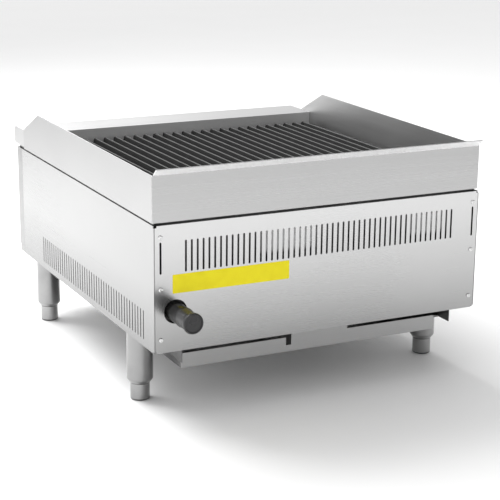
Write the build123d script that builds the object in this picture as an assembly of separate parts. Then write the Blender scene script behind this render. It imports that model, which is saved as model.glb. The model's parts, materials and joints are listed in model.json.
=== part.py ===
from build123d import *
import os

# Countertop gas radiant charbroiler, millimetres.
# Frame: +Z up, the operator stands on the -Y side, +X is the operator's right.
# The origin is on the floor, under the centre of the whole object's box.

os.makedirs("parts", exist_ok=True)

# ---- driving dimensions ------------------------------------------------------
WIDTH = 610.0            # across the side panels (24 in class)
BODY_DEPTH = 692.0       # control panel face to rear panel face
LEG_HEIGHT = 120.0       # floor to the body's lower edge
BODY_HEIGHT = 210.0      # side and rear panels
SEAM = 3.0               # shadow gap between the body and the top assembly
SEAM_DEPTH = 4.0         # how far the neck stands back in that gap
TOP_SETBACK = 5.0        # back splash face in front of the rear panel's face
SPLASH_HEIGHT = 76.0     # back splash face
LIP = 12.0               # lip at the back splash's top: its rise and its flare
GUARD_PEAK = 80.0        # highest point of the side guards above the seam
GUARD_PEAK_FROM_REAR = 560.0
GUARD_FRONT_FROM_REAR = 650.0
LEDGE_RISE = 36.0        # ledge top above the seam
LEDGE_INNER_FROM_REAR = 612.0
LEDGE_NOSE = 18.0        # nose of the ledge in front of the control panel
GRATE_RISE = 20.0        # top of the grate bars above the seam
KNOB_REACH = 40.0        # knob face in front of the control panel
CAP_REACH = 71.0         # face of the inlet cap behind the rear panel
T = 1.5                  # stainless sheet
GAP = 0.3                # clearance between bodies that move on each other
CUT = 1.0                # how far a cutter runs past what it cuts

HALF = WIDTH / 2
REAR = (BODY_DEPTH + KNOB_REACH - CAP_REACH) / 2
FRONT = REAR - BODY_DEPTH
BODY_BOTTOM = LEG_HEIGHT
BODY_TOP = BODY_BOTTOM + BODY_HEIGHT
SEAM_Z = BODY_TOP + SEAM
TOP_REAR = REAR - TOP_SETBACK
NECK_REAR = TOP_REAR - SEAM_DEPTH
SPLASH_TOP = SEAM_Z + SPLASH_HEIGHT
LEDGE_Z = SEAM_Z + LEDGE_RISE
LEDGE_INNER = REAR - LEDGE_INNER_FROM_REAR
GRATE_Z = SEAM_Z + GRATE_RISE
INSIDE = HALF - T        # inner face of the side sheets

# ---- casing ------------------------------------------------------------------
PANEL_RETURN = 28.0      # side returns of the control panel
RAIL_HEIGHT = 14.0       # lower front rail, under the control panel
RAIL_SETBACK = 3.0       # how far that rail stands behind the control panel
FRAME_FRONT = FRONT + 36.0
REAR_PANEL_HALF = HALF - 1.8
FLANGE_HALF = 290.0      # half length of the rear panel's top flange
HEM_HALF = 250.0         # half length of its bottom flange
EDGE_FLANGE = 22.0       # side panel's flange behind the rear panel
NOTCH = 3.2              # relief notches where the panels meet at the rear corners
HOLE_RADIUS = 20.0       # hole in the rear panel around the gas inlet
GUARD_FLANGE = 16.0      # guard's flange in front of the back splash
LIP_HALF = HALF - 2.0
NECK_DROP = 12.0         # how far the neck reaches down into the body
SCREW_Z = (142.0, 226.0, 311.0)
SCREW_SHANK = 2.0
SCREW_HEAD = (3.8, 2.4)  # radius and height
SCREW_LENGTH = 6.0

# ---- vents -------------------------------------------------------------------
SLOT_WIDTH = 3.4
REAR_SLOTS = 50
REAR_SLOT_SPAN = 500.0
REAR_SLOT_Z = (251.0, 303.0)
SIDE_SLOT_WIDTH = 3.0
SIDE_SLOTS = 43
SIDE_SLOT_SPAN = 500.0
SIDE_SLOT_FROM_REAR = 45.0
SIDE_SLOT_Z = (132.0, 181.0)
EDGE_X = 293.5           # edge slots and screws of the rear panel

# ---- base, legs and feet -----------------------------------------------------
BASE_INNER = HALF - 57.5
BASE_Z = BODY_BOTTOM + 3.0
BASE_SHEET = 2.0
BASE_WEB = 27.0
BASE_HEM = 8.0
CROSS_HEIGHT = 26.0
CROSS_FLANGE = 12.0
LEG_X = HALF - 24.0
LEG_Y = {"rear": REAR - 122.0, "front": FRONT + 98.0}
LEG_RADIUS = 22.3
LEG_WALL = 2.0
LEG_ROUND = 5.0          # rounding where the tube closes in on the foot
LEG_TIP = 17.7
SHOULDER = 6.5
BUSH = 14.0              # threaded bush in the bottom of the tube
PLATE = (22.0, 36.0)     # half sizes of the plate on top of the tube
BOLTS = ((-12.0, -27.0), (12.0, -27.0), (-12.0, 27.0), (12.0, 27.0))
BOLT_RADIUS = 3.0
BOLT_HEAD = (5.0, 4.0)   # radius and height
BOLT_LENGTH = 9.0
FOOT_RADIUS = 16.5
FOOT_HEIGHT = 30.0
FOOT_ROUND = 2.4         # rounding under the foot
STEM_RADIUS = 6.0
STEM_TOP = 86.0
LEG_BOTTOM = FOOT_HEIGHT + GAP

# ---- drip tray ---------------------------------------------------------------
TRAY_HALF = 245.0
TRAY_REAR = REAR - 32.5
TRAY_FRONT = FRONT + 4.0
TRAY_FLOOR = 77.0
TRAY_TOP = 102.5
TRAY_SHEET = 1.2
TRAY_TAB = (-68.0, 41.0)     # raised stretch of the tray's rear wall
TRAY_TAB_TOP = BODY_BOTTOM - 2.0
TRAY_NOTCH = (10.0, 14.0)    # notch beside it: width and depth
RAIL_X = HALF - 48.0         # outer face of the tray rails
RAIL_BOTTOM = 98.0
RAIL_FLANGE = 11.5
HANDLE = (60.0, 24.0)        # half width and reach
HANDLE_STRAP = 3.0
HANDLE_TAB = 16.0
HANDLE_Z = (TRAY_FLOOR + 4.0, TRAY_FLOOR + 22.0)

# ---- firebox, burners and radiants -------------------------------------------
BOX_TOP_HALF = 299.5     # liner width at the grate
BOX_LOW_HALF = 241.5     # liner width beside the burners
BOX_REAR = REAR - 12.5   # inner face of the rear wall
BOX_LOW = BODY_BOTTOM + 30.0     # lower edge of the firebox walls
BOX_HIGH = SEAM_Z + 8.0
BOX_SHELF = (252.0, 300.0)       # heights between which the liner slopes
BULKHEAD = LEDGE_INNER - T
PIPE_CLEAR = 2.0
THROAT_HOLE = 22.0
PILOT_HOLE = 4.5
SHELF_Z = 325.0          # grate supports
BURNER_X = (60.0, 180.0)
BURNER_Z = (205.0, 232.0)
BURNER_HALF = 17.0
BURNER_WALL = 3.5
BURNER_REAR = 304.0
BURNER_FRONT = LEDGE_INNER + 31.0
PORTS = 26
PORT_PITCH = 19.0
PORT_X = 9.0
PORT_RADIUS = 1.5
PORT_START = 50.0
RADIANT_Z = (252.0, 302.0)
RADIANT_HALF = 52.0
RADIANT_RIDGE = 8.0
RADIANT_HEM = 8.0
RADIANT_WALL = 4.0
RADIANT_RIBS = 15
RIB = 4.0

# ---- grate -------------------------------------------------------------------
SECTIONS = 4
BARS = 7
BAR_PITCH = 20.8
BAR_TOP = 2.6
BAR_FOOT = 7.0
BAR_HEIGHT = 26.0
BAR_HEEL = 6.0           # upright part of a bar, under its taper
BAR_NOSE = 7.0           # rounding of a bar's ends
CROSS_BAR = (5.0, 9.0)   # half width and height
GRATE_FRONT = LEDGE_INNER + 8.0
GRATE_REAR = REAR - 19.0

# ---- gas train ---------------------------------------------------------------
PIPE_RADIUS = 13.35      # 3/4 in pipe
PIPE_BORE = 10.5
INLET_X = HALF - 37.0
INLET_Z = 187.0
INLET_END = REAR + 62.0
COUPLING_RADIUS = 15.9
COUPLING_Y = (REAR - 8.0, REAR + 34.0)
PIPE_BREAK = REAR + 12.0         # where the inlet pipe and the nipple meet
MANIFOLD_Y = FRONT + 42.0
MANIFOLD_END = -200.0
ELBOW_REACH = 24.0
ELBOW_SOCKET = 6.0
ELBOW_WALL = 4.0
BRACKET_X = 170.0
BRACKET_HALF = 8.0
VALVE_X = 120.0
VALVE_Z = 222.0
VALVE_HALF = 13.0
SPINDLE_RADIUS = 4.0
SPINDLE_FLAT = 2.6
SPINDLE_FIT = 0.08
KNOB_RADIUS = 23.0
KNOB_BACK = FRONT - 2.0
PILOT_X = 85.0
PILOT_Z = 216.0
PILOT_Y = LEDGE_INNER + 14.0
PILOT_TOP = 230.0
PILOT_TUBE = (3.0, 2.0)  # outer and inner radius
PIPE_TOP = INLET_Z + PIPE_RADIUS - 0.4

# ---- label -------------------------------------------------------------------
LABEL = (208.0, 31.0, 0.4)
LABEL_PLACE = (169.0, 232.5)


def slab(x, y, z):
    """A block between the given (low, high) pairs, in either order."""
    sides = [sorted(pair) for pair in (x, y, z)]
    centre = [(low + high) / 2 for low, high in sides]
    size = [high - low for low, high in sides]
    return Pos(*centre) * Box(*size)


def rod(start, length, radius, axis):
    """A cylinder that starts at a point and runs along +X, +Y or +Z."""
    turn = {"x": Rot(0, 90, 0), "y": Rot(-90, 0, 0), "z": Rot(0, 0, 0)}[axis]
    return Pos(*start) * turn * Cylinder(radius, length, align=(Align.CENTER, Align.CENTER, Align.MIN))


def through(start, length, radius, axis):
    """A rod for cutting, which runs past both ends of the stretch."""
    begin = [value - CUT * (name == axis) for value, name in zip(start, "xyz")]
    return rod(begin, length + 2 * CUT, radius, axis)


def across(profile, x):
    """A YZ profile carried from x[0] to x[1]."""
    return Pos(x[0], 0, 0) * extrude(Plane.YZ * profile, x[1] - x[0])


def along(profile, y):
    """An XZ profile carried from y[0] to y[1]."""
    return Pos(0, y[1], 0) * extrude(Plane.XZ * profile, y[1] - y[0])


def outline(*points):
    return make_face(Polyline(*points, close=True))


def spread(count, span, middle):
    return [middle + span * (i / (count - 1) - 0.5) for i in range(count)]


def other_side(solid):
    return mirror(solid, about=Plane.YZ)


def save(name, shape):
    solids = shape.solids()
    part = solids[0] if len(solids) == 1 else Compound(children=list(solids))
    part.label = name
    export_step(part, f"parts/{name}.step")


def save_pair(name, right):
    save(f"right_{name}", right)
    save(f"left_{name}", other_side(right))


# ---- casing ------------------------------------------------------------------
def slots(centres, z, width):
    """Upright round-ended slots in one sketch, one at each centre."""
    middle, height = (z[0] + z[1]) / 2, z[1] - z[0]
    return [Pos(c, middle) * SlotOverall(height, width, rotation=90) for c in centres]


def side_panel():
    """Side sheet with its vents, a top flange and a flange behind the rear panel."""
    front = FRONT + PANEL_RETURN + GAP
    panel = slab((INSIDE, HALF), (front, REAR), (BODY_BOTTOM, BODY_TOP))
    flange_y, flange_z = (REAR - 2 * T, REAR - T), (BODY_BOTTOM + 4 * T, BODY_TOP - 3 * T)
    panel += slab((HALF - EDGE_FLANGE, INSIDE), flange_y, flange_z)
    panel += slab((HALF - SEAM_DEPTH, INSIDE), (front, NECK_REAR), (BODY_TOP - T, BODY_TOP))
    middle = REAR - SIDE_SLOT_FROM_REAR - SIDE_SLOT_SPAN / 2
    vents = Sketch() + slots(spread(SIDE_SLOTS, SIDE_SLOT_SPAN, middle), SIDE_SLOT_Z, SIDE_SLOT_WIDTH)
    panel -= across(vents, (INSIDE - CUT, HALF + CUT))
    edge_slot = Sketch() + slots([EDGE_X], REAR_SLOT_Z, SLOT_WIDTH + CUT)
    panel -= along(edge_slot, (flange_y[0] - CUT, flange_y[1] + CUT))
    panel -= through((INLET_X, flange_y[0], INLET_Z), T, HOLE_RADIUS + CUT, "y")
    for z in SCREW_Z:
        panel -= through((EDGE_X, flange_y[0], z), T, SCREW_SHANK, "y")
    for z in ((BODY_BOTTOM - CUT, BODY_BOTTOM + NOTCH), (BODY_TOP - NOTCH, BODY_TOP + CUT)):
        panel -= slab((INSIDE - CUT, HALF + CUT), (REAR - NOTCH, REAR + CUT), z)
    return panel


def rear_panel():
    """Flat rear cover with a row of vents, two edge slots and the inlet hole."""
    panel = slab((-REAR_PANEL_HALF, REAR_PANEL_HALF), (REAR - T, REAR), (BODY_BOTTOM, BODY_TOP))
    panel += slab((-HEM_HALF, HEM_HALF), (REAR - 6 * T, REAR - T), (BODY_BOTTOM, BODY_BOTTOM + T))
    panel += slab((-FLANGE_HALF, FLANGE_HALF), (NECK_REAR, REAR - T), (BODY_TOP - T, BODY_TOP))
    centres = spread(REAR_SLOTS, REAR_SLOT_SPAN, 0) + [-EDGE_X, EDGE_X]
    vents = Sketch() + slots(centres, REAR_SLOT_Z, SLOT_WIDTH)
    panel -= along(vents, (REAR - T - CUT, REAR + CUT))
    panel -= through((INLET_X, REAR - T, INLET_Z), T, HOLE_RADIUS, "y")
    sheet = (REAR - T - CUT, REAR + CUT)
    for side in (-1, 1):
        corner = (side * (REAR_PANEL_HALF - NOTCH), side * (REAR_PANEL_HALF + CUT))
        panel -= slab(corner, sheet, (BODY_BOTTOM - CUT, BODY_BOTTOM + NOTCH))
        panel -= slab(corner, sheet, (BODY_TOP - NOTCH, BODY_TOP + CUT))
        for z in SCREW_Z:
            panel -= through((side * EDGE_X, REAR - T, z), T, SCREW_SHANK, "y")
    return panel


def rear_screws():
    """Six cross-slotted pan heads with their shanks through both sheets."""
    radius, height = SCREW_HEAD
    recess_y, arm, half = (REAR + 1.4, REAR + 3), 2.2, 0.5
    screws = []
    for x in (-EDGE_X, EDGE_X):
        for z in SCREW_Z:
            head = rod((x, REAR, z), height, radius, "y")
            head = fillet(head.edges().group_by(Axis.Y)[-1], 1.6)
            recess = slab((x - arm, x + arm), recess_y, (z - half, z + half))
            recess += slab((x - half, x + half), recess_y, (z - arm, z + arm))
            shank = rod((x, REAR - SCREW_LENGTH, z), SCREW_LENGTH, SCREW_SHANK, "y")
            screws.append(head + shank - recess)
    return Compound(children=screws)


def control_panel():
    """Front sheet with side returns and a hole for each valve bonnet."""
    low, hem, bonnet_hole = BODY_BOTTOM + RAIL_HEIGHT, 14.0, 11.0
    panel = slab((-HALF, HALF), (FRONT, FRONT + T), (low, BODY_TOP))
    for x in ((-HALF, -INSIDE), (INSIDE, HALF)):
        panel += slab(x, (FRONT, FRONT + PANEL_RETURN), (low, BODY_TOP))
    panel += slab((-INSIDE, INSIDE), (FRONT + T, FRONT + SEAM_DEPTH), (BODY_TOP - T, BODY_TOP))
    panel += slab((-INSIDE, INSIDE), (FRONT + T, FRONT + hem), (low, low + T))
    for x in (-VALVE_X, VALVE_X):
        panel -= through((x, FRONT, VALVE_Z), T, bonnet_hole, "y")
    return panel


def lower_front_rail():
    """Channel across the front under the control panel, closed at both ends."""
    z = (BODY_BOTTOM, BODY_BOTTOM + RAIL_HEIGHT - GAP)
    y = (FRONT + RAIL_SETBACK, FRONT + PANEL_RETURN)
    rail = slab((-HALF, HALF), (y[0], y[0] + T), z)
    rail += slab((-INSIDE, INSIDE), y, (z[0], z[0] + T))
    for x in ((-HALF, -INSIDE), (INSIDE, HALF)):
        rail += slab(x, y, z)
    return rail


def neck():
    """Ring that the top assembly sits on; it shows only as the dark seam."""
    out_x, out_y = HALF - SEAM_DEPTH, (FRONT + SEAM_DEPTH, NECK_REAR)
    z = (BODY_TOP - NECK_DROP, SEAM_Z + SEAM)
    ring = slab((-out_x, out_x), out_y, z)
    return ring - slab((T - out_x, out_x - T), (out_y[0] + T, out_y[1] - T), (z[0] - CUT, z[1] + CUT))


# ---- top assembly ------------------------------------------------------------
def guard():
    """Side splash guard with a flange in front of the back splash and a foot on the neck."""
    front, peak = REAR - GUARD_FRONT_FROM_REAR, REAR - GUARD_PEAK_FROM_REAR
    rear = TOP_REAR - T
    face = outline(
        (rear, SEAM_Z), (rear, SPLASH_TOP), (peak, SEAM_Z + GUARD_PEAK), (front, LEDGE_Z), (front, SEAM_Z))
    sheet = across(face, (INSIDE, HALF))
    flange = slab((HALF - GUARD_FLANGE, INSIDE), (rear - T, rear), (SEAM_Z + T, SPLASH_TOP))
    foot = slab((HALF - SEAM_DEPTH, INSIDE), (front, rear), (SEAM_Z, SEAM_Z + T))
    return sheet + flange + foot


def back_splash():
    """Rear sheet of the top assembly, as wide as the body, with its flared lip."""
    sheet = (TOP_REAR - T, TOP_REAR)
    splash = slab((-HALF, HALF), sheet, (SEAM_Z, SPLASH_TOP))
    foot_half = HALF - SEAM_DEPTH
    splash += slab((-foot_half, foot_half), (NECK_REAR, sheet[0]), (SEAM_Z, SEAM_Z + T))
    tip_y, tip_z = TOP_REAR + LIP, SPLASH_TOP + LIP
    lip = outline(
        (sheet[0], SPLASH_TOP), (sheet[1], SPLASH_TOP), (tip_y, tip_z - T),
        (tip_y, tip_z), (tip_y - T, tip_z), (sheet[0], SPLASH_TOP + T))
    return splash + across(lip, (-LIP_HALF, LIP_HALF))


def front_ledge():
    """Hollow ledge in front of the grate, with end caps and a rounded nose."""
    nose, low = FRONT - LEDGE_NOSE, SEAM_Z + SEAM
    top_round, low_round = 12.0, 6.0
    skin = outline((LEDGE_INNER, low), (LEDGE_INNER, LEDGE_Z), (nose, LEDGE_Z), (nose, low))
    front_edge = skin.vertices().filter_by_position(Axis.X, nose - CUT, nose + CUT).sort_by(Axis.Y)
    skin = fillet(front_edge[-1], top_round)
    lower = skin.vertices().group_by(Axis.Y)[0].sort_by(Axis.X)[0]
    skin = fillet(lower, low_round)
    tube = across(skin, (-INSIDE, INSIDE)) - across(offset(skin, -T), (-INSIDE, INSIDE))
    opening = slab((-INSIDE, INSIDE), (FRONT + 4 * T, LEDGE_INNER - T), (low - CUT, low + T + CUT))
    caps = across(skin, (-HALF, -INSIDE)) + across(skin, (INSIDE, HALF))
    inside = HALF - SEAM_DEPTH - T
    inner = slab((-inside, inside), (LEDGE_INNER - T, LEDGE_INNER), (SEAM_Z, low))
    guard_y = (REAR - GUARD_FRONT_FROM_REAR, LEDGE_INNER + CUT)
    clear = slab((-HALF - CUT, HALF + CUT), guard_y, (SEAM_Z, LEDGE_Z + CUT))
    return tube - opening + (caps - clear) + inner


# ---- base --------------------------------------------------------------------
def base_channel():
    """Inner floor channel that the legs are bolted to."""
    y = (FRAME_FRONT, REAR - 10)
    channel = slab((BASE_INNER, INSIDE), y, (BASE_Z, BASE_Z + BASE_SHEET))
    channel += slab((BASE_INNER, BASE_INNER + BASE_SHEET), y, (BASE_Z, BASE_Z + BASE_WEB))
    channel += slab((INSIDE - BASE_SHEET, INSIDE), y, (BASE_Z, BASE_Z + BASE_HEM))
    for place in LEG_Y.values():
        for dx, dy in BOLTS:
            channel -= through((LEG_X + dx, place + dy, BASE_Z), BASE_SHEET, BOLT_RADIUS, "z")
    return channel


def cross_member(y):
    low = BODY_BOTTOM + T
    member = slab((-BASE_INNER, BASE_INNER), (y, y + BASE_SHEET), (low, low + CROSS_HEIGHT))
    return member + slab((-BASE_INNER, BASE_INNER), (y, y + CROSS_FLANGE), (low, low + BASE_SHEET))


def tray_rail():
    """Angle that the drip tray's edge slides on, hung from the base channel."""
    rail = slab((RAIL_X - T, RAIL_X), (FRAME_FRONT, REAR - 2), (RAIL_BOTTOM, BASE_Z))
    rail += slab((RAIL_X - RAIL_FLANGE, RAIL_X), (FRAME_FRONT, TRAY_REAR), (RAIL_BOTTOM, RAIL_BOTTOM + T))
    return rail + slab((BASE_INNER, RAIL_X), (FRAME_FRONT, REAR - 10), (BASE_Z - T, BASE_Z))


# ---- legs --------------------------------------------------------------------
def leg(x, y):
    """Plate, tube and the threaded bush that the foot screws into, welded up."""
    half_x, half_y = PLATE
    plate = slab((-half_x, half_x), (-half_y, half_y), (BODY_BOTTOM, BASE_Z))
    for dx, dy in BOLTS:
        plate -= through((dx, dy, BODY_BOTTOM), BASE_Z - BODY_BOTTOM, BOLT_RADIUS, "z")
    shoulder, bush_top = LEG_BOTTOM + SHOULDER, LEG_BOTTOM + SHOULDER + BUSH
    bore, inner = STEM_RADIUS + GAP, LEG_RADIUS - LEG_WALL
    wall = outline(
        (bore, LEG_BOTTOM), (LEG_TIP, LEG_BOTTOM), (LEG_RADIUS, shoulder), (LEG_RADIUS, BODY_BOTTOM),
        (inner, BODY_BOTTOM), (inner, bush_top), (bore, bush_top))
    corner = wall.vertices().group_by(Axis.X)[-1].sort_by(Axis.Y)[0]
    tube = revolve(Plane.XZ * fillet(corner, LEG_ROUND), Axis.Z)
    return Pos(x, y, 0) * (plate + tube)


def foot(x, y):
    """Levelling foot: a turned pad, rounded underneath, on a threaded stem."""
    pad = Rectangle(FOOT_RADIUS, FOOT_HEIGHT, align=Align.MIN)
    corners = pad.vertices().group_by(Axis.X)[-1].sort_by(Axis.Y)
    pad = fillet(corners[0], FOOT_ROUND)
    top_corner = pad.vertices().group_by(Axis.X)[-1].sort_by(Axis.Y)[-1]
    pad = chamfer(top_corner, CUT)
    stem = Pos(0, FOOT_HEIGHT) * Rectangle(STEM_RADIUS, STEM_TOP - FOOT_HEIGHT, align=Align.MIN)
    return Pos(x, y, 0) * revolve(Plane.XZ * (pad + stem), Axis.Z)


def leg_bolts():
    """Hex bolts up through each leg plate into the base channels."""
    radius, height = BOLT_HEAD
    bolts = []
    for x in (-LEG_X, LEG_X):
        for y in LEG_Y.values():
            for dx, dy in BOLTS:
                head = Pos(0, 0, BODY_BOTTOM - height) * extrude(RegularPolygon(radius, 6), height)
                bolt = head + rod((0, 0, BODY_BOTTOM), BOLT_LENGTH, BOLT_RADIUS, "z")
                bolts.append(Pos(x + dx, y + dy, 0) * bolt)
    return Compound(children=bolts)


# ---- drip tray ---------------------------------------------------------------
def drip_tray():
    """Shallow pan; its long edges are turned out over the rails."""
    half, s = TRAY_HALF, TRAY_SHEET
    pan = slab((-half, half), (TRAY_FRONT, TRAY_REAR), (TRAY_FLOOR, TRAY_TOP))
    pan -= slab((s - half, half - s), (TRAY_FRONT + s, TRAY_REAR - s), (TRAY_FLOOR + s, TRAY_TOP + CUT))
    rim_low, rim_half = RAIL_BOTTOM + T + GAP, RAIL_X - T - 1
    for side in (-1, 1):
        pan += slab((side * half, side * rim_half), (TRAY_FRONT, TRAY_REAR), (rim_low, rim_low + s))
    pan += slab(TRAY_TAB, (TRAY_REAR - s, TRAY_REAR), (TRAY_TOP, TRAY_TAB_TOP))
    width, depth = TRAY_NOTCH
    notch_x = (TRAY_TAB[1], TRAY_TAB[1] + width)
    return pan - slab(notch_x, (TRAY_REAR - s - CUT, TRAY_REAR + CUT), (TRAY_TOP - depth, TRAY_TOP + CUT))


def tray_handle():
    """Bent strap handle on the tray's front wall."""
    half, reach = HANDLE
    front = TRAY_FRONT - reach
    strap = slab((-half, half), (front, front + HANDLE_STRAP), HANDLE_Z)
    for side in (-1, 1):
        strap += slab((side * (half - HANDLE_STRAP), side * half), (front, TRAY_FRONT), HANDLE_Z)
        tab_y = (TRAY_FRONT - HANDLE_STRAP, TRAY_FRONT)
        strap += slab((side * half, side * (half + HANDLE_TAB)), tab_y, HANDLE_Z)
    return strap


# ---- firebox -----------------------------------------------------------------
def liner():
    """Side wall of the firebox, wide at the grate and narrow beside the burners."""
    top, low = BOX_TOP_HALF, BOX_LOW_HALF
    knee, step = BOX_SHELF
    lift = T / 2
    wall = outline(
        (top, BOX_HIGH), (top - T, BOX_HIGH), (top - T, step + lift), (low - T, knee + lift),
        (low - T, BOX_LOW), (low, BOX_LOW), (low, knee), (top, step))
    return along(wall, (LEDGE_INNER, BOX_REAR))


def bulkhead():
    """Front wall of the firebox, with openings for the burner throats, pilots and pipe."""
    wall = slab((-BOX_TOP_HALF, BOX_TOP_HALF), (BULKHEAD, LEDGE_INNER), (BOX_LOW, SEAM_Z))
    wall -= through((INLET_X, BULKHEAD, INLET_Z), T, PIPE_RADIUS + PIPE_CLEAR, "y")
    for side in (-1, 1):
        wall -= through((side * VALVE_X, BULKHEAD, VALVE_Z), T, THROAT_HOLE, "y")
        wall -= through((side * PILOT_X, BULKHEAD, PILOT_Z), T, PILOT_HOLE, "y")
    return wall


def rear_wall():
    wall = slab((-BOX_TOP_HALF, BOX_TOP_HALF), (BOX_REAR, BOX_REAR + T), (BOX_LOW, BOX_HIGH))
    return wall - through((INLET_X, BOX_REAR, INLET_Z), T, PIPE_RADIUS + PIPE_CLEAR, "y")


def cross_angle(y, z, reach, half, drop):
    """Angle iron across the firebox: y is the wall face, reach points inwards."""
    wall_side = T if reach > 0 else -T
    angle = slab((-half, half), (y, y + reach), (z, z + T))
    return angle + slab((-half, half), (y, y + wall_side), (z - drop, z))


def grate_supports():
    half = BOX_TOP_HALF - T
    reach, drop = 24.0, 14.0
    pair = [cross_angle(LEDGE_INNER, SHELF_Z, reach, half, drop)]
    pair.append(cross_angle(BOX_REAR, SHELF_Z, -reach, half, drop))
    return Compound(children=pair)


def firebox_angles():
    """Two angles under the ends of the radiants and one under the burners' tails."""
    half = BOX_LOW_HALF - T
    reach, drop = 16.0, 10.0
    radiant_seat, burner_seat = RADIANT_Z[0] - T, BURNER_Z[0] - T
    angles = [cross_angle(LEDGE_INNER, radiant_seat, reach, half, drop)]
    angles.append(cross_angle(BOX_REAR, radiant_seat, -reach, half, drop))
    angles.append(cross_angle(BOX_REAR, burner_seat, -(reach + 2), half, drop + 4))
    return Compound(children=angles)


def burner():
    """Hollow cast U burner with a bell-mouthed throat and rows of ports."""
    low, high = BURNER_Z
    w, bridge = BURNER_WALL, 2 * BURNER_HALF
    middle = sum(BURNER_X) / 2
    outer, inner = Part(), Part()
    for x in BURNER_X:
        left, right = x - BURNER_HALF, x + BURNER_HALF
        outer += slab((left, right), (BURNER_FRONT, BURNER_REAR), BURNER_Z)
        inner += slab((left + w, right - w), (BURNER_FRONT + w, BURNER_REAR - w), (low + w, high - w))
    left, right = BURNER_X[0] - BURNER_HALF, BURNER_X[1] + BURNER_HALF
    outer += slab((left, right), (BURNER_FRONT, BURNER_FRONT + bridge), BURNER_Z)
    inner += slab(
        (left + w, right - w), (BURNER_FRONT + w, BURNER_FRONT + bridge - w), (low + w, high - w))
    mouth, neck_y, entry = BULKHEAD - 6, BULKHEAD + 10, BURNER_FRONT + w
    throat = outline((0, mouth), (20, mouth), (12.5, neck_y), (13.5, entry), (0, entry))
    bore = outline((0, mouth - CUT), (17.5, mouth - CUT), (9.5, neck_y), (10, entry + CUT), (0, entry + CUT))
    place = Pos(middle, 0, VALVE_Z)
    outer += place * revolve(Plane.XY * throat, Axis.Y)
    inner += place * revolve(Plane.XY * bore, Axis.Y)
    ports = Sketch()
    for x in BURNER_X:
        for i in range(PORTS):
            y = BURNER_FRONT + PORT_START + PORT_PITCH * i
            ports += Pos(x - PORT_X, y) * Circle(PORT_RADIUS)
            ports += Pos(x + PORT_X, y) * Circle(PORT_RADIUS)
    drilled = Pos(0, 0, high - w - CUT) * extrude(ports, w + 2 * CUT)
    return outer - inner - drilled


def radiant(x):
    """Cast inverted V with ribs down its slopes, over one leg of a burner."""
    low, high = RADIANT_Z
    half, ridge, wall = RADIANT_HALF, RADIANT_RIDGE, RADIANT_WALL
    hem = low + RADIANT_HEM
    shell = outline(
        (-half, low), (-half, hem), (-ridge, high), (ridge, high), (half, hem), (half, low),
        (half - wall, low), (half - wall, hem - 2), (ridge - 2, high - wall), (2 - ridge, high - wall),
        (wall - half, hem - 2), (wall - half, low))
    y = (LEDGE_INNER + 3, BOX_REAR - 3)
    body = along(shell, y)
    rib = outline((-half, hem), (-ridge, high + RIB), (ridge, high + RIB), (half, hem))
    core = outline((2 - half, hem - 1), (-ridge, high - 2), (ridge, high - 2), (half - 2, hem - 1))
    middle, span = (y[0] + y[1]) / 2, y[1] - y[0] - 44
    for at in spread(RADIANT_RIBS, span, middle):
        body += along(rib, (at - RIB / 2, at + RIB / 2)) - along(core, (at - RIB, at + RIB))
    return Pos(x, 0, 0) * body


# ---- grate -------------------------------------------------------------------
def grate_bar():
    """One bar, tapered towards its top and rounded at both ends."""
    low, heel = GRATE_Z - BAR_HEIGHT, GRATE_Z - BAR_HEIGHT + BAR_HEEL
    foot_half, top_half = BAR_FOOT / 2, BAR_TOP / 2
    section = outline(
        (-foot_half, low), (foot_half, low), (foot_half, heel), (top_half, GRATE_Z - 1),
        (top_half - 1, GRATE_Z), (1 - top_half, GRATE_Z), (-top_half, GRATE_Z - 1), (-foot_half, heel))
    side = outline((GRATE_FRONT, low), (GRATE_FRONT, GRATE_Z), (GRATE_REAR, GRATE_Z), (GRATE_REAR, low))
    side = fillet(side.vertices().group_by(Axis.Y)[-1], BAR_NOSE)
    return along(section, (GRATE_FRONT, GRATE_REAR)) & across(side, (-BAR_FOOT, BAR_FOOT))


def grate_section(number):
    """Seven bars cast together with four cross bars under them."""
    middle = (number - (SECTIONS - 1) / 2) * BARS * BAR_PITCH
    low = GRATE_Z - BAR_HEIGHT
    bar = grate_bar()
    body = Part()
    for x in spread(BARS, (BARS - 1) * BAR_PITCH, 0):
        body += Pos(x, 0, 0) * bar
    half = BARS * BAR_PITCH / 2 - GAP - 0.2
    depth = GRATE_REAR - GRATE_FRONT
    half_width, height = CROSS_BAR
    for share in (0.03, 0.35, 0.65, 0.97):
        y = GRATE_FRONT + depth * share
        body += slab((-half, half), (y - half_width, y + half_width), (low, low + height))
    return Pos(middle, 0, 0) * body


# ---- gas train ---------------------------------------------------------------
def pipe(start, length, axis):
    return rod(start, length, PIPE_RADIUS, axis) - rod(start, length, PIPE_BORE, axis)


def manifold():
    """Pipe across the front with a plug on its blind end and a drilled hole for each valve."""
    end, plug = INLET_X - ELBOW_REACH, 8.0
    body = pipe((MANIFOLD_END, MANIFOLD_Y, INLET_Z), end - MANIFOLD_END, "x")
    body += rod((MANIFOLD_END - plug, MANIFOLD_Y, INLET_Z), plug + 1, PIPE_RADIUS + 2, "x")
    for x in (-VALVE_X, -PILOT_X, PILOT_X, VALVE_X):
        body -= rod((x, MANIFOLD_Y, INLET_Z), PIPE_RADIUS + CUT, 3.0, "z")
    return body


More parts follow.
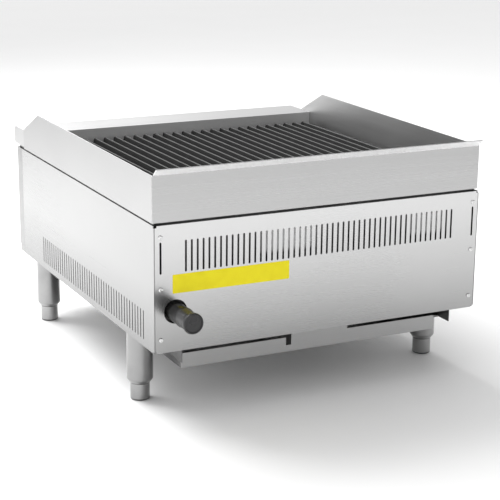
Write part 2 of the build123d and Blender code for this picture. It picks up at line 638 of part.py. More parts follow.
def elbow():
    """Elbow fitting that turns the inlet pipe into the manifold."""
    outer, reach, socket = PIPE_RADIUS + ELBOW_WALL, ELBOW_REACH, ELBOW_SOCKET
    place = (INLET_X, MANIFOLD_Y, INLET_Z)
    far = (INLET_X - reach - socket, MANIFOLD_Y, INLET_Z)
    body = rod(far, reach + socket, outer, "x") + rod(place, reach + socket, outer, "y")
    body += Pos(*place) * Sphere(outer)
    body -= rod((far[0] - CUT, MANIFOLD_Y, INLET_Z), socket + CUT, PIPE_RADIUS, "x")
    body -= rod((INLET_X, MANIFOLD_Y + reach, INLET_Z), socket + CUT, PIPE_RADIUS, "y")
    body -= rod((INLET_X - reach, MANIFOLD_Y, INLET_Z), reach, PIPE_BORE, "x")
    return body - rod(place, reach, PIPE_BORE, "y") - Pos(*place) * Sphere(PIPE_BORE)


def inlet_pipe():
    start = MANIFOLD_Y + ELBOW_REACH
    return pipe((INLET_X, start, INLET_Z), PIPE_BREAK - start, "y")


def inlet_coupling():
    """Socket that joins the inlet pipe to the nipple outside the rear panel."""
    start, end = COUPLING_Y
    body = rod((INLET_X, start, INLET_Z), end - start, COUPLING_RADIUS, "y")
    body = chamfer(body.edges().filter_by(GeomType.CIRCLE), CUT)
    return body - through((INLET_X, start, INLET_Z), end - start, PIPE_RADIUS, "y")


def inlet_nipple():
    """Short threaded pipe that the customer's gas line screws onto."""
    start = PIPE_BREAK + 2
    body = pipe((INLET_X, start, INLET_Z), INLET_END - start, "y")
    return chamfer(body.edges().group_by(Axis.Y)[-1], CUT)


def inlet_cap():
    """Push-on thread protector: waisted sleeve with a bead, a flared rim and a dished face."""
    face, sleeve = REAR + CAP_REACH, COUPLING_Y[1] + GAP
    bore, inner_end, dish = PIPE_RADIUS + GAP, INLET_END + GAP, 1.6
    half = outline(
        (bore, sleeve), (16.0, sleeve), (16.6, sleeve + 1.2), (16.0, sleeve + 2.6), (15.7, sleeve + 10),
        (15.3, face - 14), (15.6, face - 9.5), (16.5, face - 6.5), (17.2, face - 4.2), (17.2, face - 2.4),
        (16.6, face - 0.8), (15.6, face), (14.4, face), (13.6, face - dish), (0, face - dish),
        (0, inner_end), (bore, inner_end))
    return Pos(INLET_X, 0, INLET_Z) * revolve(Plane.XY * half, Axis.Y)


def valve_body():
    """Tapered-plug gas valve: block, neck into the manifold and bonnet to the front."""
    z, h, y = VALVE_Z, VALVE_HALF, MANIFOLD_Y
    block = slab((-h, h), (y - h + 1, y + h + 1), (z - h, z + h))
    block = fillet(block.edges().filter_by(Axis.Y), 5.0)
    block += rod((0, y, PIPE_TOP), z - PIPE_TOP, 7.0, "z")
    block += rod((0, y - 24, z), 14, 10.0, "y")
    block += rod((0, y + 12, z), 8, 6.0, "y")
    block -= rod((0, y - 25, z), 24, SPINDLE_RADIUS + SPINDLE_FIT, "y")
    block -= rod((0, y + 6, z), 15, 3.0, "y")
    saddle = rod((-20, y, INLET_Z), 40, PIPE_RADIUS, "x")
    return Pos(VALVE_X, 0, 0) * (block - saddle)


def orifices():
    """Hex orifice hoods on the rear of the valves, pointing into the burner throats."""
    y, hex_length, tip = MANIFOLD_Y + 20, 7.0, 5.0
    hoods = []
    for x in (-VALVE_X, VALVE_X):
        hood = Pos(x, y, VALVE_Z) * Rot(-90, 0, 0) * extrude(RegularPolygon(7.5, 6), hex_length)
        hood += rod((x, y + hex_length, VALVE_Z), tip, 4.0, "y")
        hoods.append(hood - through((x, y, VALVE_Z), hex_length + tip, 1.2, "y"))
    return Compound(children=hoods)


def spindle():
    """Valve spindle with a flat for the knob."""
    inner, outer, flat_end = MANIFOLD_Y - 4, FRONT - KNOB_REACH + 12, FRONT - 6
    stem = rod((VALVE_X, outer, VALVE_Z), inner - outer, SPINDLE_RADIUS, "y")
    flat_z = (VALVE_Z + SPINDLE_FLAT, VALVE_Z + SPINDLE_RADIUS + CUT)
    return stem - slab((VALVE_X - 5, VALVE_X + 5), (outer - CUT, flat_end), flat_z)


def knob():
    """Turned knob with a wide skirt, a finger grip across it and a pointer groove."""
    face, back, skirt = FRONT - KNOB_REACH, KNOB_BACK, KNOB_RADIUS + 2
    half = outline(
        (0, back), (skirt, back), (skirt, back - 5), (skirt - 4, back - 11), (skirt - 5, back - 14),
        (0, back - 14))
    body = revolve(Plane.XY * half, Axis.Y)
    grip_half, grip_reach = 6.5, KNOB_RADIUS - 2
    grip = slab((-grip_half, grip_half), (face, back - 12), (-grip_reach, grip_reach))
    grip = fillet(grip.edges().filter_by(Axis.Y), 4.0)
    grip = fillet(grip.edges().group_by(Axis.Y)[0], 2.0)
    body += grip
    body -= slab((-0.8, 0.8), (face - CUT, face + CUT), (4, KNOB_RADIUS))
    bore = rod((0, face + 12, 0), 40, SPINDLE_RADIUS, "y")
    bore -= slab((-5, 5), (face + 11, FRONT - 6), (SPINDLE_FLAT, 5))
    return Pos(VALVE_X, 0, VALVE_Z) * (body - bore)


def pilot_valves():
    """Small needle valves on the manifold, one for each pilot."""
    valves = []
    for x in (-PILOT_X, PILOT_X):
        body = rod((x, MANIFOLD_Y, PIPE_TOP), PILOT_Z + 6 - PIPE_TOP, 6.0, "z")
        body += rod((x, MANIFOLD_Y, PILOT_Z), 12, 4.5, "y")
        body -= rod((x, MANIFOLD_Y + 6, PILOT_Z), 7, 2.5, "y")
        valves.append(body - rod((x - 20, MANIFOLD_Y, INLET_Z), 40, PIPE_RADIUS, "x"))
    return Compound(children=valves)


def pilot_tubes():
    """Aluminium tubes from the pilot valves up to the pilot burners."""
    tubes = []
    outer, inner = PILOT_TUBE
    for x in (-PILOT_X, PILOT_X):
        start = (x, MANIFOLD_Y + 12, PILOT_Z)
        path = FilletPolyline(start, (x, PILOT_Y, PILOT_Z), (x, PILOT_Y, PILOT_TOP), radius=10)
        ring = Plane(start, z_dir=(0, 1, 0)) * (Circle(outer) - Circle(inner))
        tubes.append(sweep(ring, path=path))
    return Compound(children=tubes)


def pilot_burners():
    """Hooded pilot heads that point at the burner ports."""
    y, z, half = PILOT_Y, PILOT_TOP, 6.0
    heads = []
    for x in (-PILOT_X, PILOT_X):
        head = rod((x, y, z), 13, 4.5, "z") - rod((x, y, z), 8, 2.0, "z")
        hood = slab((x - half, x + half), (y, y + 15), (z + 11, z + 12.5))
        heads.append(head + hood)
    return Compound(children=heads)


def manifold_brackets():
    """Straps that hang the manifold from the bulkhead."""
    brackets = []
    half, plate_half = BRACKET_HALF, 18.0
    for x in (-BRACKET_X, BRACKET_X):
        wide = (x - half, x + half)
        strap = rod((x - half, MANIFOLD_Y, INLET_Z), 2 * half, PIPE_RADIUS + 3, "x")
        strap += slab(wide, (MANIFOLD_Y, BULKHEAD), (INLET_Z - T, INLET_Z + T))
        strap += slab(wide, (BULKHEAD - 2, BULKHEAD), (INLET_Z - plate_half, INLET_Z + plate_half))
        brackets.append(strap - through((x - half, MANIFOLD_Y, INLET_Z), 2 * half, PIPE_RADIUS, "x"))
    return Compound(children=brackets)


# ---- label -------------------------------------------------------------------
def rear_label():
    """Plain yellow label stuck on the rear panel."""
    width, height, thickness = LABEL
    plate = extrude(Plane.XZ * RectangleRounded(width, height, 1.5), thickness)
    return Pos(LABEL_PLACE[0], REAR + thickness, LABEL_PLACE[1]) * plate


# ---- write the parts ---------------------------------------------------------
save_pair("side_panel", side_panel())
save("rear_panel", rear_panel())
save("rear_panel_screws", rear_screws())
save("control_panel", control_panel())
save("lower_front_rail", lower_front_rail())
save("neck_frame", neck())
save_pair("splash_guard", guard())
save("back_splash", back_splash())
save("front_ledge", front_ledge())
save_pair("base_channel", base_channel())
save("cross_members", Compound(children=[cross_member(FRONT + 60), cross_member(REAR - 24)]))
save("tray_rails", Compound(children=[tray_rail(), other_side(tray_rail())]))
save_pair("firebox_liner", liner())
save("firebox_bulkhead", bulkhead())
save("firebox_rear_wall", rear_wall())
save("grate_supports", grate_supports())
save("firebox_angles", firebox_angles())
save_pair("burner", burner())
for number in range(SECTIONS):
    centre = (number - (SECTIONS - 1) / 2) * (BURNER_X[1] - BURNER_X[0])
    save(f"radiant_{number + 1}", radiant(centre))
    save(f"grate_section_{number + 1}", grate_section(number))
save("manifold_pipe", manifold())
save("manifold_brackets", manifold_brackets())
save("inlet_elbow", elbow())
save("inlet_pipe", inlet_pipe())
save("inlet_coupling", inlet_coupling())
save("inlet_nipple", inlet_nipple())
save("inlet_cap", inlet_cap())
save_pair("gas_valve", valve_body())
save("burner_orifices", orifices())
save_pair("valve_spindle", spindle())
save_pair("knob", knob())
save("pilot_valves", pilot_valves())
save("pilot_tubes", pilot_tubes())
save("pilot_burners", pilot_burners())
for end, y in LEG_Y.items():
    for side, x in (("left", -LEG_X), ("right", LEG_X)):
        save(f"{side}_{end}_leg", leg(x, y))
        save(f"{side}_{end}_foot", foot(x, y))
save("leg_bolts", leg_bolts())
save("drip_tray", drip_tray())
save("drip_tray_handle", tray_handle())
save("rear_label", rear_label())
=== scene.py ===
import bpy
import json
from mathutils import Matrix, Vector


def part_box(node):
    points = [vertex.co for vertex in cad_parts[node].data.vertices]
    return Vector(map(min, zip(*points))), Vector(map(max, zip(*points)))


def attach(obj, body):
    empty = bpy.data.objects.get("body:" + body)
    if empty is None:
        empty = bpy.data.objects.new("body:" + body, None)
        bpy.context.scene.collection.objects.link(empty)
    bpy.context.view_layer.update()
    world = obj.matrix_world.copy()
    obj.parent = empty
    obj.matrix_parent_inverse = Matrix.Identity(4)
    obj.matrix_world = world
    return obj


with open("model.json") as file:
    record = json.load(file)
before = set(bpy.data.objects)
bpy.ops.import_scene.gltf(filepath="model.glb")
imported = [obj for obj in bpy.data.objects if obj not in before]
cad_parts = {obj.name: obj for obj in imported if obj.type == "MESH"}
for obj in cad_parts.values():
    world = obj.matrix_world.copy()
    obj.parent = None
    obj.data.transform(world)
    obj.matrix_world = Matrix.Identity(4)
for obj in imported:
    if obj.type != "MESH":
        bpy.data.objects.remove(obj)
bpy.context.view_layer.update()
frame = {"nodes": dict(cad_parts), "record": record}

# Looks of a countertop gas charbroiler, seen from its rear right corner. Metres, +Z up.

import json
import math

import bmesh
import bpy
from mathutils import Euler, Matrix, Vector

NODES = frame["nodes"]

MM = 0.001

# ---- camera and light ----------------------------------------------------------
CAMERA_PLACE = (1.139, 2.339, 0.893)
CAMERA_HEADING = 153.49              # degrees, as are the next two
CAMERA_TILT = -15.43
CAMERA_ROLL = 0.62
CAMERA_LENS = 104.0
SENSOR_WIDTH = 36.0
BRIGHT_SIDE = (0.8, -0.6, 0.1)       # where the studio's bright wall stands
BRIGHT_WALL = 1.27
DIM_WALL = 0.4
WALL_FADE = (-0.8, 0.7)              # cosines to the bright side between which dim turns to bright
SOFTBOX_PLACE = (0.6, -1.5, 2.1)
SOFTBOX_TARGET = (0, 0.2, 0.1)
SOFTBOX_SIZE = (2.4, 1.6)
SOFTBOX_POWER = 100.0
FLOOR_HALF = 40.0

# ---- numbers for the finishes --------------------------------------------------
GRAIN_LONG, GRAIN_FINE = 1.0, 260.0  # brushing: texture scale along and across the grain
BAND_LONG, BAND_FINE = 0.5, 34.0     # broad bands in the brushing, the same way
PAINTED_PATCH_FADE = 8 * MM                  # width over which a painted patch of light dies away
SOOT = (0.03, 0.028, 0.026)
SOOT_HEIGHT = (0.33, 0.27)           # from clean to black, going down
PAINTED_PATCH_HEIGHT = (0.260, 0.268)        # from sooty to the painted patches of light, going up the back of the firebox
# x spans of the painted patches of light on the back of the firebox
PAINTED_PATCH_PLACES = ((-0.235, -0.178), (0.015, 0.108))


# ---- node helpers --------------------------------------------------------------
class Surface:
    """One procedural material: a Principled shader and the texture nodes that feed it."""

    def __init__(self, name, color, metallic=0.0, roughness=0.5, **sockets):
        self.material = bpy.data.materials.new(name)
        self.material.use_nodes = True
        self.tree = self.material.node_tree
        self.shader = self.tree.nodes["Principled BSDF"]
        self.shader.inputs["Base Color"].default_value = (*color, 1.0)
        self.shader.inputs["Metallic"].default_value = metallic
        self.shader.inputs["Roughness"].default_value = roughness
        for socket, value in sockets.items():
            self.shader.inputs[socket.replace("_", " ")].default_value = value
        self.place = self.node("ShaderNodeTexCoord").outputs["Object"]
        self.normal = None

    def node(self, kind, **settings):
        made = self.tree.nodes.new(kind)
        for key, value in settings.items():
            setattr(made, key, value)
        return made

    def wire(self, source, target):
        if hasattr(source, "is_output"):
            self.tree.links.new(source, target)
        else:
            target.default_value = source

    def noise(self, scale, detail=3.0, stretch=(1, 1, 1), roughness=0.5):
        mapping = self.node("ShaderNodeMapping")
        mapping.inputs["Scale"].default_value = stretch
        self.wire(self.place, mapping.inputs["Vector"])
        made = self.node("ShaderNodeTexNoise")
        made.inputs["Scale"].default_value = scale
        made.inputs["Detail"].default_value = detail
        made.inputs["Roughness"].default_value = roughness
        self.wire(mapping.outputs["Vector"], made.inputs["Vector"])
        return made.outputs["Fac"]

    def cells(self, scale):
        made = self.node("ShaderNodeTexVoronoi")
        made.inputs["Scale"].default_value = scale
        self.wire(self.place, made.inputs["Vector"])
        return made.outputs["Distance"]

    def spread(self, value, low, high, to_low, to_high):
        """Maps a value from one range to another, held at the ends."""
        made = self.node("ShaderNodeMapRange")
        sockets = ("Value", "From Min", "From Max", "To Min", "To Max")
        for socket, number in zip(sockets, (value, low, high, to_low, to_high)):
            self.wire(number, made.inputs[socket])
        return made.outputs["Result"]

    def math(self, operation, a, b=None):
        made = self.node("ShaderNodeMath", operation=operation)
        self.wire(a, made.inputs[0])
        if b is not None:
            self.wire(b, made.inputs[1])
        return made.outputs[0]

    def times(self, a, b):
        return self.math("MULTIPLY", a, b)

    def blend(self, share, first, second):
        """A colour between two colours."""
        made = self.node("ShaderNodeMix", data_type="RGBA")
        self.wire(share, made.inputs["Factor"])
        for socket, value in (("A", first), ("B", second)):
            target = [s for s in made.inputs if s.name == socket and s.type == "RGBA"][0]
            self.wire(value if hasattr(value, "is_output") else (*value, 1.0), target)
        return [s for s in made.outputs if s.type == "RGBA"][0]

    def share(self, value, low, high):
        """0 where a value is low and 1 where it is high."""
        return self.spread(value, low, high, 0.0, 1.0)

    def part(self, vector, axis):
        """One coordinate of a vector."""
        split = self.node("ShaderNodeSeparateXYZ")
        self.wire(vector, split.inputs[0])
        return split.outputs[axis]

    def facing(self, axis, low, high):
        """0 where the surface's normal has the low share of an axis, 1 where it has the high one."""
        normal = self.node("ShaderNodeNewGeometry").outputs["Normal"]
        return self.share(self.part(normal, axis), low, high)

    def along(self, axis, low, high):
        """0 at one place along an axis of the object and 1 at another."""
        return self.share(self.part(self.place, axis), low, high)

    def ridges(self, axis, pitch):
        """Waves across an axis, one in each pitch."""
        turns = self.times(self.part(self.place, axis), 2 * math.pi / pitch)
        return self.math("SINE", turns)

    def color(self, value):
        self.wire(value, self.shader.inputs["Base Color"])

    def rough(self, value):
        self.wire(value, self.shader.inputs["Roughness"])

    def bump(self, value, depth, strength=1.0):
        made = self.node("ShaderNodeBump")
        made.inputs["Strength"].default_value = strength
        made.inputs["Distance"].default_value = depth
        self.wire(value, made.inputs["Height"])
        if self.normal is not None:
            self.wire(self.normal, made.inputs["Normal"])
        self.normal = made.outputs["Normal"]
        self.wire(self.normal, self.shader.inputs["Normal"])


# ---- materials -----------------------------------------------------------------
def grey(tone):
    return (tone, tone, tone)


def stretched(grain, lengthwise, crosswise):
    """Texture scales for a grain that runs along one axis."""
    return tuple(lengthwise if axis == grain else crosswise for axis in "xyz")


def brushed(name, grain, tone=0.5, rough=0.26, contrast=1.0, mottle_and_painted_shade=None, painted_light_faces=None):
    """Brushed stainless sheet; grain is the axis the brushing runs along.

    mottle_and_painted_shade is (low, high, share) of a painted shade: going down from the high place the
    sheet is painted darker, to that share of its tone at the low place. painted_light_faces is the
    (axis, low, high, tone, roughness) of faces given a painted tone as painted light: those whose
    normal has that share of the axis.
    """
    metal = Surface(name, (tone, tone, tone * 0.99), metallic=1.0, roughness=rough)
    fine = metal.noise(4.0, 2.0, stretched(grain, GRAIN_LONG, GRAIN_FINE))
    broad = metal.noise(1.6, 4.0, stretched(grain, BAND_LONG, BAND_FINE))
    cloud = metal.noise(5.0, 2.0)
    mixed = metal.math("ADD", metal.times(fine, 0.6), metal.times(broad, 0.4))
    light = grey(min(1.0, tone * (1 + 0.035 * contrast)))
    dark = grey(tone * (1 - 0.05 * contrast))
    color = metal.blend(metal.share(mixed, 0.35, 0.65), dark, light)
    streak = metal.spread(mixed, 0.3, 0.7, rough - 0.05 * contrast, rough + 0.05 * contrast)
    roughness = metal.math("ADD", streak, metal.spread(cloud, 0.3, 0.7, -0.02, 0.02))
    # Painted shade: the colour is painted darker towards the bottom.
    if mottle_and_painted_shade:
        low, high, share = mottle_and_painted_shade
        color = metal.blend(metal.along("Z", low, high), grey(tone * share), color)
    # Painted light: faces turned one way get a painted tone, and a roughness, of their own.
    if painted_light_faces:
        axis, low, high, painted_light_tone, painted_light_rough = painted_light_faces
        painted_light_share = metal.facing(axis, low, high)
        color = metal.blend(painted_light_share, color, grey(painted_light_tone))
        roughness = metal.math("ADD", roughness, metal.times(painted_light_share, painted_light_rough - rough))
    metal.color(color)
    metal.rough(roughness)
    metal.bump(fine, 0.00004 * contrast, 0.5)
    return metal.material


def sheet_metal(name, tone, rough, soot=False, painted_light_patch=None, flank=None):
    """Dull aluminised sheet with a spangle.

    With soot it blackens going down, painted_light_patch is the tone of painted patches of light on
    its back, and flank is the tone of its outer sides, painted apart from the rest as painted light.
    """
    metal = Surface(name, grey(tone), metallic=0.9, roughness=rough)
    spangle = metal.cells(160.0)
    cloud = metal.noise(9.0, 4.0)
    base = metal.blend(metal.share(spangle, 0.1, 0.7), grey(tone * 0.9), grey(tone * 1.08))
    if soot:
        patchy = metal.spread(cloud, 0.2, 0.6, 0.7, 1.0)
        base = metal.blend(metal.times(metal.along("Z", *SOOT_HEIGHT), patchy), base, SOOT)
    # Painted light: bright patches on the back wall, standing in for light seen through the rear vent
    # slots.
    if painted_light_patch:
        back = metal.times(metal.facing("Y", 0.4, 0.8), metal.along("Z", *PAINTED_PATCH_HEIGHT))
        for left, right in PAINTED_PATCH_PLACES:
            from_left = metal.along("X", left - PAINTED_PATCH_FADE, left)
            from_right = metal.along("X", right + PAINTED_PATCH_FADE, right)
            inside = metal.times(from_left, from_right)
            base = metal.blend(metal.times(back, inside), base, grey(painted_light_patch))
    # Painted light: the outer sides get a painted tone of their own.
    if flank:
        outer = metal.math("MAXIMUM", metal.facing("X", 0.5, 0.8), metal.facing("X", -0.5, -0.8))
        base = metal.blend(outer, base, grey(flank))
    metal.color(base)
    metal.rough(metal.spread(cloud, 0.3, 0.7, rough - 0.07, rough + 0.08))
    metal.bump(spangle, 0.00003, 0.4)
    return metal.material


def cast_iron(name, body, top, rough=0.62):
    """Sand-cast iron: pitted flanks, and upper faces painted lighter in patches, as painted highlight
    and rubbed wear.
    """
    iron = Surface(name, body, metallic=0.35, roughness=rough)
    pits = iron.noise(900.0, 4.0, roughness=0.65)
    blotch = iron.noise(45.0, 3.0)
    # Painted highlight: the upper faces take the lighter top colour, in patches like rubbed wear.
    worn = iron.times(iron.facing("Z", 0.6, 0.95), iron.spread(blotch, 0.3, 0.55, 0.72, 1.0))
    flank = iron.blend(iron.share(blotch, 0.35, 0.7), body, tuple(1.5 * c for c in body))
    iron.color(iron.blend(worn, flank, top))
    iron.rough(iron.spread(pits, 0.3, 0.7, rough - 0.1, rough + 0.12))
    iron.bump(pits, 0.00035, 0.7)
    iron.bump(blotch, 0.0004, 0.4)
    return iron.material


def turned(name, tone, rough, painted_contact_shade=None, thread=None):
    """Lathe-turned and plated steel: fine rings round the upright axis.

    painted_contact_shade is the (low, high) height where its lowest stretch turns from a painted
    contact shadow, near black, to its own tone, and thread is the (start, pitch) of a screw thread
    whose grooves are painted darker as painted shade.
    """
    metal = Surface(name, grey(tone), metallic=1.0, roughness=rough)
    rings = metal.noise(3.0, 2.0, (3.0, 3.0, 900.0))
    mottle_and_painted_shade = metal.noise(30.0, 3.0)
    color = metal.blend(metal.share(mottle_and_painted_shade, 0.3, 0.7), grey(tone * 0.92), grey(min(1, tone * 1.05)))
    # Painted shade: the lowest stretch is painted near black, standing in for its contact shadow.
    if painted_contact_shade:
        color = metal.blend(metal.along("Z", *painted_contact_shade), grey(0.02), color)
    if thread:
        start, pitch = thread
        cut = metal.times(metal.ridges("Z", pitch), metal.along("Z", start, start + pitch))
        # Painted shade: the thread's grooves are painted darker.
        color = metal.blend(metal.spread(cut, -1.0, 0.0, 1.0, 0.0), color, grey(tone * 0.35))
        metal.bump(cut, 0.0005, 1.0)
    metal.color(color)
    metal.rough(metal.spread(mottle_and_painted_shade, 0.3, 0.7, rough - 0.03, rough + 0.06))
    metal.bump(rings, 0.00002, 0.5)
    return metal.material


def moulded(name, color, rough):
    """Satin moulded plastic with a fine spark-eroded grain."""
    plastic = Surface(name, color, roughness=rough, Specular_IOR_Level=0.45)
    grain = plastic.noise(1400.0, 2.0)
    scuff = plastic.noise(40.0, 4.0)
    scuffed = tuple(1.5 * c for c in color)
    plastic.color(plastic.blend(plastic.share(scuff, 0.35, 0.75), color, scuffed))
    plastic.rough(plastic.spread(scuff, 0.3, 0.7, rough - 0.06, rough + 0.08))
    plastic.bump(grain, 0.00005, 0.5)
    return plastic.material


def lacquer(name, color, rough, thread=None):
    """Black lacquered pipe with drawn streaks and a few worn spots; thread is its (start, pitch)."""
    paint = Surface(name, color, metallic=0.1, roughness=rough, Specular_IOR_Level=0.35)
    streak = paint.noise(3.0, 3.0, (12.0, 2.0, 12.0))
    spots = paint.noise(120.0, 4.0)
    worn = paint.spread(spots, 0.64, 0.74, 0.0, 0.35)
    paint.color(paint.blend(worn, color, (0.09, 0.085, 0.08)))
    paint.rough(paint.spread(streak, 0.3, 0.7, rough - 0.06, rough + 0.1))
    paint.bump(spots, 0.0001, 0.4)
    if thread:
        start, pitch = thread
        cut = paint.times(paint.ridges("Y", pitch), paint.along("Y", start, start + pitch))
        paint.bump(cut, 0.0008)
    return paint.material


def brass(name):
    """Machined brass with tarnished patches."""
    bright, stained = (0.76, 0.56, 0.25), (0.48, 0.32, 0.13)
    metal = Surface(name, (0.72, 0.52, 0.22), metallic=1.0, roughness=0.3)
    tarnish = metal.noise(60.0, 4.0)
    cut = metal.noise(3.0, 2.0, (300.0, 4.0, 300.0))
    metal.color(metal.blend(metal.share(tarnish, 0.35, 0.7), bright, stained))
    metal.rough(metal.spread(tarnish, 0.3, 0.7, 0.22, 0.42))
    metal.bump(cut, 0.00003, 0.5)
    return metal.material


def vinyl(name):
    """Plain yellow label stock with a faint mottle and a fine paper tooth."""
    pale, deep = (0.99, 0.87, 0.022), (0.94, 0.81, 0.02)
    label = Surface(name, (0.95, 0.83, 0.022), roughness=0.5, Specular_IOR_Level=0.2)
    mottle = label.noise(60.0, 3.0)
    paper = label.noise(900.0, 2.0)
    label.color(label.blend(label.share(mottle, 0.3, 0.7), pale, deep))
    label.rough(label.spread(mottle, 0.3, 0.7, 0.45, 0.58))
    label.bump(paper, 0.00002, 0.4)
    return label.material


# The brushed materials below are one stainless steel given a painted tone panel by panel, as painted
# light: darker where a panel faces the bright side, lighter on the rear.
BODY_LOW, BODY_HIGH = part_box("rear_panel")[0][2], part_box("rear_panel")[1][2]
# Painted light: the splash lip's downward faces are painted to full tone.
SPLASH_STEEL = brushed("brushed_splash", "x", tone=0.56, painted_light_faces=("Z", -0.3, -0.6, 1.0, 0.72))
# Painted shade: the rear panel is painted darker towards the bottom.
REAR_PAINTED_SHADE = (BODY_LOW, BODY_HIGH - 10 * MM, 0.51)
REAR_STEEL = brushed("brushed_rear", "x", tone=0.74, contrast=0.38, mottle_and_painted_shade=REAR_PAINTED_SHADE)
# Painted shade: the side panels are painted darker towards the bottom.
SIDE_PAINTED_SHADE = (BODY_LOW, BODY_LOW + 110 * MM, 0.70)
SIDE_STEEL = brushed("brushed_side", "y", tone=0.34, contrast=0.5, mottle_and_painted_shade=SIDE_PAINTED_SHADE)
GUARD_STEEL = brushed("brushed_guard", "y", tone=0.43, rough=0.4, contrast=0.7)
# Painted shade: faces turned to +X, such as the control panel's side return, are painted darker.
FRONT_STEEL = brushed("brushed_front", "x", tone=0.33, rough=0.3, painted_light_faces=("X", 0.5, 0.8, 0.29, 0.34))
# Painted light: the ledge's faces turned to +Y, its inner wall over the grate, are painted lighter.
LEDGE_STEEL = brushed("brushed_ledge", "x", tone=0.46, rough=0.34, painted_light_faces=("Y", 0.5, 0.8, 0.8, 0.62))
# Painted shade: the tray's faces turned to +X are painted darker.
TRAY_STEEL = brushed("tray_steel", "x", tone=0.4, rough=0.36, painted_light_faces=("X", 0.5, 0.8, 0.22, 0.4))
DULL = sheet_metal("aluminised_sheet", 0.42, 0.5)
# Painted shade: the neck frame is painted near black, standing in for the shadow in the gap under the
# top, and its outer sides lighter.
NECK_PAINTED_SHADE = sheet_metal("neck_painted_shade_sheet", 0.09, 0.6, flank=0.26)
# Painted shade: the tray rails are painted far darker than the other aluminised sheet, for where they
# sit in the shade under the body.
RAIL_PAINTED_SHADE = sheet_metal("rail_painted_shade_sheet", 0.13, 0.42)
LINER = sheet_metal("firebox_sheet", 0.36, 0.55, soot=True)
# Painted light: the back of the firebox gets bright painted patches behind the rear vent slots.
REAR_LINER = sheet_metal("firebox_rear_sheet", 0.36, 0.55, soot=True, painted_light_patch=0.95)
GRATE = cast_iron("seasoned_grate_iron", grey(0.010), grey(0.08))
RADIANT = cast_iron("radiant_iron", (0.02, 0.019, 0.018), (0.04, 0.038, 0.036), 0.75)
BURNER = cast_iron("burner_iron", (0.035, 0.035, 0.034), (0.06, 0.06, 0.058), 0.7)
FOOT_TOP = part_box("right_rear_leg")[0][2]
LEG = turned("leg_plate_finish", 0.31, 0.06)
# Painted shade: the foot's lowest 1.6 to 3.2 mm is painted near black as its contact shadow.
FOOT = turned("foot_plate_finish", 0.34, 0.15, painted_contact_shade=(0.0016, 0.0032), thread=(FOOT_TOP, 0.00175))
ZINC = turned("zinc_screws", 0.8, 0.12)
SPINDLE = turned("spindle_steel", 0.6, 0.3)
PIPE = lacquer("black_pipe", grey(0.013), 0.27)
NIPPLE_THREAD = (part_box("inlet_coupling")[1][1], 0.0018)
THREADED_PIPE = lacquer("threaded_black_pipe", grey(0.013), 0.27, thread=NIPPLE_THREAD)
BRASS = brass("valve_brass")
TUBE = turned("aluminium_tube", 0.8, 0.3)
PILOT = sheet_metal("pilot_steel", 0.4, 0.45)
KNOB = moulded("knob_phenolic", (0.015, 0.015, 0.016), 0.35)
CAP = moulded("cap_plastic", (0.023, 0.023, 0.024), 0.29)
LABEL = vinyl("yellow_vinyl")
INK = moulded("dial_ink", grey(0.02), 0.5)

# The finish of each material slot of the record, but for the nodes in the next table.
FINISHES = {
    "tray_sheet": TRAY_STEEL,
    "aluminised_sheet": DULL,
    "grate_iron": GRATE,
    "radiant_iron": RADIANT,
    "burner_iron": BURNER,
    "zinc_fastener": ZINC,
    "black_pipe": PIPE,
    "brass": BRASS,
    "spindle_steel": SPINDLE,
    "tube_aluminium": TUBE,
    "pilot_steel": PILOT,
    "knob_plastic": KNOB,
    "cap_plastic": CAP,
    "yellow_label": LABEL,
    "leg_steel": LEG,
    "foot_steel": FOOT,
}
SPECIAL = {
    "left_side_panel": SIDE_STEEL,
    "right_side_panel": SIDE_STEEL,
    "rear_panel": REAR_STEEL,
    "back_splash": SPLASH_STEEL,
    "left_splash_guard": GUARD_STEEL,
    "right_splash_guard": GUARD_STEEL,
    "front_ledge": LEDGE_STEEL,
    "control_panel": FRONT_STEEL,
    "lower_front_rail": FRONT_STEEL,
    "neck_frame": NECK_PAINTED_SHADE,
    "tray_rails": RAIL_PAINTED_SHADE,
    "left_firebox_liner": LINER,
    "right_firebox_liner": LINER,
    "firebox_bulkhead": LINER,
    "firebox_rear_wall": REAR_LINER,
    "grate_supports": LINER,
    "inlet_nipple": THREADED_PIPE,
}

# Sheet and bar nodes whose sharp edges are rounded: the radius in mm.
ROUNDED = {
    "lower_front_rail": 0.5,
    "left_splash_guard": 0.6,
    "right_splash_guard": 0.6,
    "back_splash": 0.6,
    "front_ledge": 0.6,
    "drip_tray": 0.4,
    "drip_tray_handle": 0.8,
    "tray_rails": 0.5,
    "inlet_coupling": 0.8,
}


def dress_frame():
    slots = {part["node"]: part["material_slot"] for part in frame["record"]["subparts"]}
    for name, node in NODES.items():
        finish = SPECIAL[name] if name in SPECIAL else FINISHES[slots[name]]
        node.data.materials.clear()
        node.data.materials.append(finish)


def soften(name, width):
    """Rounds the sharp edges of a CAD node, whose faces are first welded at their shared edges."""
    node = NODES[name]
    weld = node.modifiers.new("welded", "WELD")
    weld.merge_threshold = 0.01 * MM
    bevel = node.modifiers.new("rounded_edges", "BEVEL")
    bevel.width = width
    bevel.segments = 2
    bevel.limit_method = "ANGLE"
    bevel.angle_limit = math.radians(40)
    bevel.harden_normals = True


# ---- printed marks -------------------------------------------------------------
DIAL_RADII = (29 * MM, 34 * MM)      # inner and outer ends of the ticks
DIAL_TICKS = 7
DIAL_TURN = math.radians(90)         # from off, upright, round to full on
TICK_HALF = math.radians(0.8)        # half a tick's width at off; at full on it is twice that
DIAL_WEDGE = (36 * MM, 39.5 * MM)    # arc outside the ticks, which widens towards full on
WEDGE_START = 0.12                   # where along the turn it starts
WEDGE_STEPS = 24
INK_THICK = 0.15 * MM


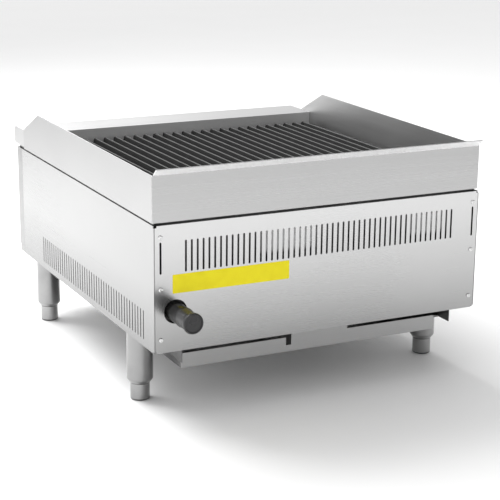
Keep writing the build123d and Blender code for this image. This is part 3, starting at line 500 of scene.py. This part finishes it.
def dial_marks(side):
    """Ticks and a widening arc printed on the control panel round one knob."""
    low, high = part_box(f"{side}_knob")
    panel_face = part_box("control_panel")[0][1]
    middle_x, middle_z = (low[0] + high[0]) / 2, (low[2] + high[2]) / 2

    def place(radius, angle, y):
        return (middle_x - radius * math.sin(angle), y, middle_z + radius * math.cos(angle))

    shape = bmesh.new()
    levels = (panel_face - INK_THICK, panel_face + INK_THICK)

    def block(corners):
        """A thin plate on the panel with the given (radius, angle) corners."""
        rings = [[shape.verts.new(place(radius, angle, y)) for radius, angle in corners] for y in levels]
        shape.faces.new(rings[0])
        shape.faces.new(reversed(rings[1]))
        for i in range(len(corners)):
            j = (i + 1) % len(corners)
            shape.faces.new((rings[0][j], rings[0][i], rings[1][i], rings[1][j]))

    inner, outer = DIAL_RADII
    for tick in range(DIAL_TICKS):
        share = tick / (DIAL_TICKS - 1)
        angle, half = share * DIAL_TURN, TICK_HALF * (1 + share)
        low_side, high_side = angle - half, angle + half
        block([(inner, low_side), (outer, low_side), (outer, high_side), (inner, high_side)])
    inner, outer = DIAL_WEDGE
    step = (1 - WEDGE_START) / WEDGE_STEPS
    sweep = [WEDGE_START + i * step for i in range(WEDGE_STEPS + 1)]
    far = [(inner + (outer - inner) * share, share * DIAL_TURN) for share in sweep]
    block([(inner, share * DIAL_TURN) for share in reversed(sweep)] + far)
    bmesh.ops.recalc_face_normals(shape, faces=shape.faces)
    mesh = bpy.data.meshes.new(f"{side}_dial_marks")
    shape.to_mesh(mesh)
    shape.free()
    mesh.materials.append(INK)
    marks = bpy.data.objects.new(f"{side}_dial_marks", mesh)
    bpy.context.scene.collection.objects.link(marks)
    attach(marks, "chassis")


# ---- stage ---------------------------------------------------------------------
def floor():
    corners = [(-1, -1), (1, -1), (1, 1), (-1, 1)]
    mesh = bpy.data.meshes.new("floor")
    mesh.from_pydata([(x * FLOOR_HALF, y * FLOOR_HALF, 0) for x, y in corners], [], [(0, 1, 2, 3)])
    ground = bpy.data.objects.new("floor", mesh)
    bpy.context.scene.collection.objects.link(ground)
    pale = Surface("pale_floor", grey(0.93), roughness=0.7)
    pale.color(pale.blend(pale.noise(3.0), grey(0.92), grey(0.94)))
    mesh.materials.append(pale.material)


def softbox():
    light = bpy.data.lights.new("softbox", "AREA")
    light.shape = "RECTANGLE"
    light.size, light.size_y = SOFTBOX_SIZE
    light.energy = SOFTBOX_POWER
    made = bpy.data.objects.new("softbox", light)
    made.location = SOFTBOX_PLACE
    aim = Vector(SOFTBOX_TARGET) - Vector(SOFTBOX_PLACE)
    made.rotation_euler = aim.to_track_quat("-Z", "Y").to_euler()
    bpy.context.scene.collection.objects.link(made)


def studio():
    """A white studio: bright towards the object's front right, dimmer on the other side."""
    world = bpy.data.worlds.new("studio")
    bpy.context.scene.world = world
    world.use_nodes = True
    tree = world.node_tree
    place = tree.nodes.new("ShaderNodeTexCoord")
    facing = tree.nodes.new("ShaderNodeVectorMath")
    facing.operation = "DOT_PRODUCT"
    facing.inputs[1].default_value = Vector(BRIGHT_SIDE).normalized()
    tree.links.new(place.outputs["Generated"], facing.inputs[0])
    fall = tree.nodes.new("ShaderNodeMapRange")
    fall.interpolation_type = "SMOOTHSTEP"
    sockets = ("From Min", "From Max", "To Min", "To Max")
    for socket, value in zip(sockets, (*WALL_FADE, DIM_WALL, BRIGHT_WALL)):
        fall.inputs[socket].default_value = value
    tree.links.new(facing.outputs["Value"], fall.inputs["Value"])
    background = tree.nodes["Background"]
    background.inputs["Color"].default_value = (1, 1, 1, 1)
    tree.links.new(fall.outputs["Result"], background.inputs["Strength"])
    softbox()
    bpy.context.scene.view_settings.view_transform = "Standard"


def camera():
    data = bpy.data.cameras.new("camera")
    data.lens = CAMERA_LENS
    data.sensor_width = SENSOR_WIDTH
    made = bpy.data.objects.new("camera", data)
    turn = Euler((math.radians(90 + CAMERA_TILT), 0, math.radians(CAMERA_HEADING))).to_matrix()
    roll = Matrix.Rotation(math.radians(CAMERA_ROLL), 3, "Z")
    made.matrix_world = Matrix.Translation(CAMERA_PLACE) @ (turn @ roll).to_4x4()
    bpy.context.scene.collection.objects.link(made)
    bpy.context.scene.camera = made


dress_frame()
for node_name, radius in ROUNDED.items():
    soften(node_name, radius * MM)
for hand in ("left", "right"):
    dial_marks(hand)
floor()
studio()
camera()
